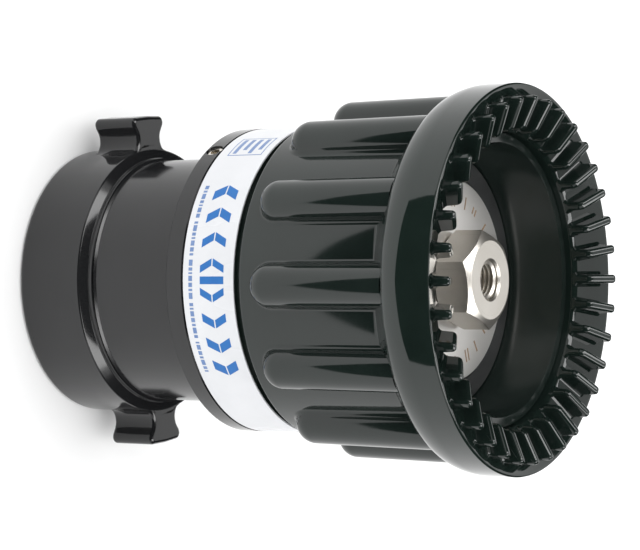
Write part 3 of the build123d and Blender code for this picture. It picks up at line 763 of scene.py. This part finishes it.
def bigPrint():
    # chevrons that point away from a middle bar, each stroke a little heavier than the last
    bm = bmesh.new()
    low, high = chevron["lower"], chevron["upper"]
    middle, slit = (low + high) / 2, chevron["slit"] / 2
    centre = (chevron["start"] + chevron["end"]) / 2 * arc
    reach = (chevron["end"] - chevron["start"]) / 2 * arc
    half = chevron["middleBar"] / 2
    printBar(bm, centre - half, centre + half, low, high)
    perSide = chevron["count"] // 2
    thin, thick = chevron["stroke"]
    step = (reach - half - thick - chevron["lean"]) / (perSide - 1)
    for side in (-1, 1):
        for index in range(perSide):
            near = half + chevron["firstGap"] + (step - chevron["stepTrim"]) * index
            wide = thin + (thick - thin) * index / (perSide - 1)
            tip = near + chevron["lean"]
            for edge, inner in ((low, middle - slit), (high, middle + slit)):
                printShape(bm, [(centre + side * near, edge), (centre + side * (near + wide), edge),
                                (centre + side * (tip + wide), inner), (centre + side * tip, inner)])
    raisePrint(bm)
    return bm


def smallPrint():
    # a row of dashes below the chevrons, and a framed panel of bars at the label's end
    bm = bmesh.new()
    low = dash["height"] - dash["tall"] / 2
    x = chevron["start"] * arc
    index = 0
    while x < chevron["end"] * arc:
        wide = dash["widths"][index % len(dash["widths"])]
        printBar(bm, x, x + wide, low, low + dash["tall"])
        index += 1
        x += wide + (dash["gap"] if index % dash["groupSize"] else dash["groupGap"])
    left, right, line = panel["start"] * arc, panel["end"] * arc, panel["line"]
    for bottom in (panel["low"], panel["high"] - line):
        printBar(bm, left, right, bottom, bottom + line)
    for side in (left, right - line):
        printBar(bm, side, side + line, panel["low"] + line, panel["high"] - line)
    spacing = (panel["high"] - panel["low"]) / (panel["bars"] + 0.5)
    for index in range(panel["bars"]):
        bottom = panel["low"] + spacing * (index + 0.5)
        far = right - panel["inset"] - panel["shorter"] * (index % 2)
        printBar(bm, left + panel["inset"], far, bottom, bottom + panel["barTall"])
    raisePrint(bm)
    return bm


finishPiece("labelPrint", bigPrint(), blueInk, "shaper", [])
finishPiece("labelSmallPrint", smallPrint(), paleBlueInk, "shaper", [])
print("label print done")

# finishes for the turned pieces kept as they are
keptFinishes = {
    "inlet_gasket": softRubber, "swivel_seal": softRubber, "barrel_seal": softRubber, "wiper_ring": softRubber,
    "ball_plug": polishedSteel, "swivel_balls": polishedSteel, "cam_pins": polishedSteel,
    "stem": polishedSteel, "stem_washer": polishedSteel, "stem_nut": polishedSteel,
    "lock_screw": polishedSteel, "tailpiece": bareAlloy, "stem_support": bareAlloy,
    "flow_spacer": bareAlloy, "baffle_body": bareAlloy, "base_barrel": barrelBlack,
    "pattern_sleeve": sleeveBlack, "rear_ring": couplingBlack, "seat_ring": seatGrey,
    "baffle_plate": plateSteel, "label_band": labelVinyl,
}
for nodeName, finish in keptFinishes.items():
    node = nodes[nodeName]
    node.data.materials.clear()
    node.data.materials.append(finish)
print("kept nodes finished:", len(keptFinishes))

# studio in metres: floor, soft light, and dark flags and light panels that only reflections see
studio = {"floorSize": 30.0, "floorColour": (0.93, 0.93, 0.93, 1), "floorRough": 0.8, "floorGloss": 0.1,
          "ambient": 1.0, "fill": 1.9, "fillSpread": 120, "fillTilt": (22, -12),
          "cardNear": 0.254, "cardTop": 0.75, "cardHalf": 0.26, "cardLift": 0.002,
          "tipNear": 0.241, "tipHalf": 0.07, "tipLift": 0.003,
          "panelNear": 0.27, "panelFar": 0.8, "panelReach": 0.6, "panelGlow": 6.0,
          "roofHalf": 0.2, "roofNear": -1.0, "roofFar": 0.18, "roofHeight": 1.2,
          "wingRadius": 0.8, "wingStart": 18, "wingEnd": 100, "wingLow": 0.05, "wingHigh": 0.95, "wingSteps": 20}
plainBlack = (0.0, 0.0, 0.0, 1)
plainWhite = (1, 1, 1, 1)


def stageMesh(name, bm, material):
    made = meshObject(name, bm)
    made.data.materials.append(material)
    return made


def flatCard(width, depth, centre=(0, 0, 0)):
    bm = bmesh.new()
    bmesh.ops.create_grid(bm, x_segments=1, y_segments=1, size=0.5)
    bmesh.ops.scale(bm, vec=(width, depth, 1), verts=bm.verts)
    bmesh.ops.translate(bm, vec=centre, verts=bm.verts)
    return bm


def frontCard():
    # an upright card before the nozzle, with a flat point at its foot that draws its reflection to a tip
    bm = flatCard(2 * studio["cardHalf"], studio["cardTop"])
    bmesh.ops.rotate(bm, verts=bm.verts, cent=(0, 0, 0), matrix=Matrix.Rotation(math.radians(90), 3, "X"))
    centre = (0, -studio["cardNear"], studio["cardTop"] / 2 + studio["cardLift"])
    bmesh.ops.translate(bm, vec=centre, verts=bm.verts)
    tipCorners = ((0, -studio["tipNear"]), (studio["tipHalf"], -studio["cardNear"]),
                  (-studio["tipHalf"], -studio["cardNear"]))
    bm.faces.new([bm.verts.new((x, y, studio["tipLift"])) for x, y in tipCorners])
    return bm


def roofCard():
    middle = (studio["roofFar"] + studio["roofNear"]) / 2
    return flatCard(2 * studio["roofHalf"], studio["roofFar"] - studio["roofNear"],
                    (0, middle, studio["roofHeight"]))


def wingCard(side):
    # a tall curved card behind the nozzle, to one side
    bm = bmesh.new()
    ends = [bm.verts.new((0, studio["wingRadius"], studio[level])) for level in ("wingLow", "wingHigh")]
    edge = bm.edges.new(ends)
    turn = math.radians(-side * studio["wingStart"])
    bmesh.ops.rotate(bm, verts=ends, cent=(0, 0, 0), matrix=Matrix.Rotation(turn, 3, "Z"))
    sweep = math.radians(-side * (studio["wingEnd"] - studio["wingStart"]))
    bmesh.ops.spin(bm, geom=[*ends, edge], cent=(0, 0, 0), axis=(0, 0, 1), dvec=(0, 0, 0), angle=sweep,
                   steps=studio["wingSteps"], use_merge=False, use_duplicate=False)
    return bm


def softPanel(side):
    # an overhead light panel to one side, seen only as bright streaks on rounded edges
    wide = studio["panelFar"] - studio["panelNear"]
    return flatCard(wide, 2 * studio["panelReach"],
                    (side * (studio["panelNear"] + wide / 2), 0, studio["roofHeight"]))


floorPaint = startFinish("floorPaint", {"Base Color": studio["floorColour"], "Roughness": studio["floorRough"],
                                        "Specular IOR Level": studio["floorGloss"]})[0]
flagPaint = startFinish("studioFlag", {"Base Color": plainBlack, "Roughness": 1.0,
                                       "Specular IOR Level": 0.0})[0]
panelGlow = startFinish("panelGlow", {"Base Color": plainBlack, "Emission Color": plainWhite,
                                      "Emission Strength": studio["panelGlow"]})[0]
stageMesh("studioFloor", flatCard(studio["floorSize"], studio["floorSize"]), floorPaint)
reflected = [("flagCard", frontCard(), flagPaint), ("flagRoof", roofCard(), flagPaint),
             ("flagWingLeft", wingCard(-1), flagPaint), ("flagWingRight", wingCard(1), flagPaint),
             ("panelLeft", softPanel(-1), panelGlow), ("panelRight", softPanel(1), panelGlow)]
for cardName, cardMesh, cardPaint in reflected:
    card = stageMesh(cardName, cardMesh, cardPaint)
    card.visible_camera = False
    card.visible_diffuse = False
    card.visible_shadow = False
    card.visible_transmission = False

fillLamp = bpy.data.lights.new("studioFill", "SUN")
fillLamp.energy = studio["fill"]
fillLamp.angle = math.radians(studio["fillSpread"])
fill = bpy.data.objects.new("studioFill", fillLamp)
scene.collection.objects.link(fill)
fill.rotation_euler = (*(math.radians(tilt) for tilt in studio["fillTilt"]), 0)
fill.visible_glossy = False

world = bpy.data.worlds.new("studioWorld")
scene.world = world
world.use_nodes = True
world.node_tree.nodes["Background"].inputs["Color"].default_value = plainWhite
world.node_tree.nodes["Background"].inputs["Strength"].default_value = studio["ambient"]
scene.view_settings.view_transform = "Standard"

# camera: its place in mm, and the directions of its right, its top and its back
camera = {"place": (-4.7397, -734.6676, 554.6756), "right": (0.00344, 0.52928, 0.84844),
          "up": (-0.99999, 0.00475, 0.00110), "back": (-0.00345, -0.84843, 0.52929),
          "lens": 138.4, "sensor": 36.0}
cameraObject = bpy.data.objects.new("studioCamera", bpy.data.cameras.new("studioCamera"))
scene.collection.objects.link(cameraObject)
aim = Matrix([camera["right"], camera["up"], camera["back"]]).transposed().to_4x4()
aim.translation = Vector(camera["place"]) * mm
cameraObject.matrix_world = aim
cameraObject.data.sensor_width = camera["sensor"]
cameraObject.data.lens = camera["lens"]
scene.camera = cameraObject
print("studio ready")
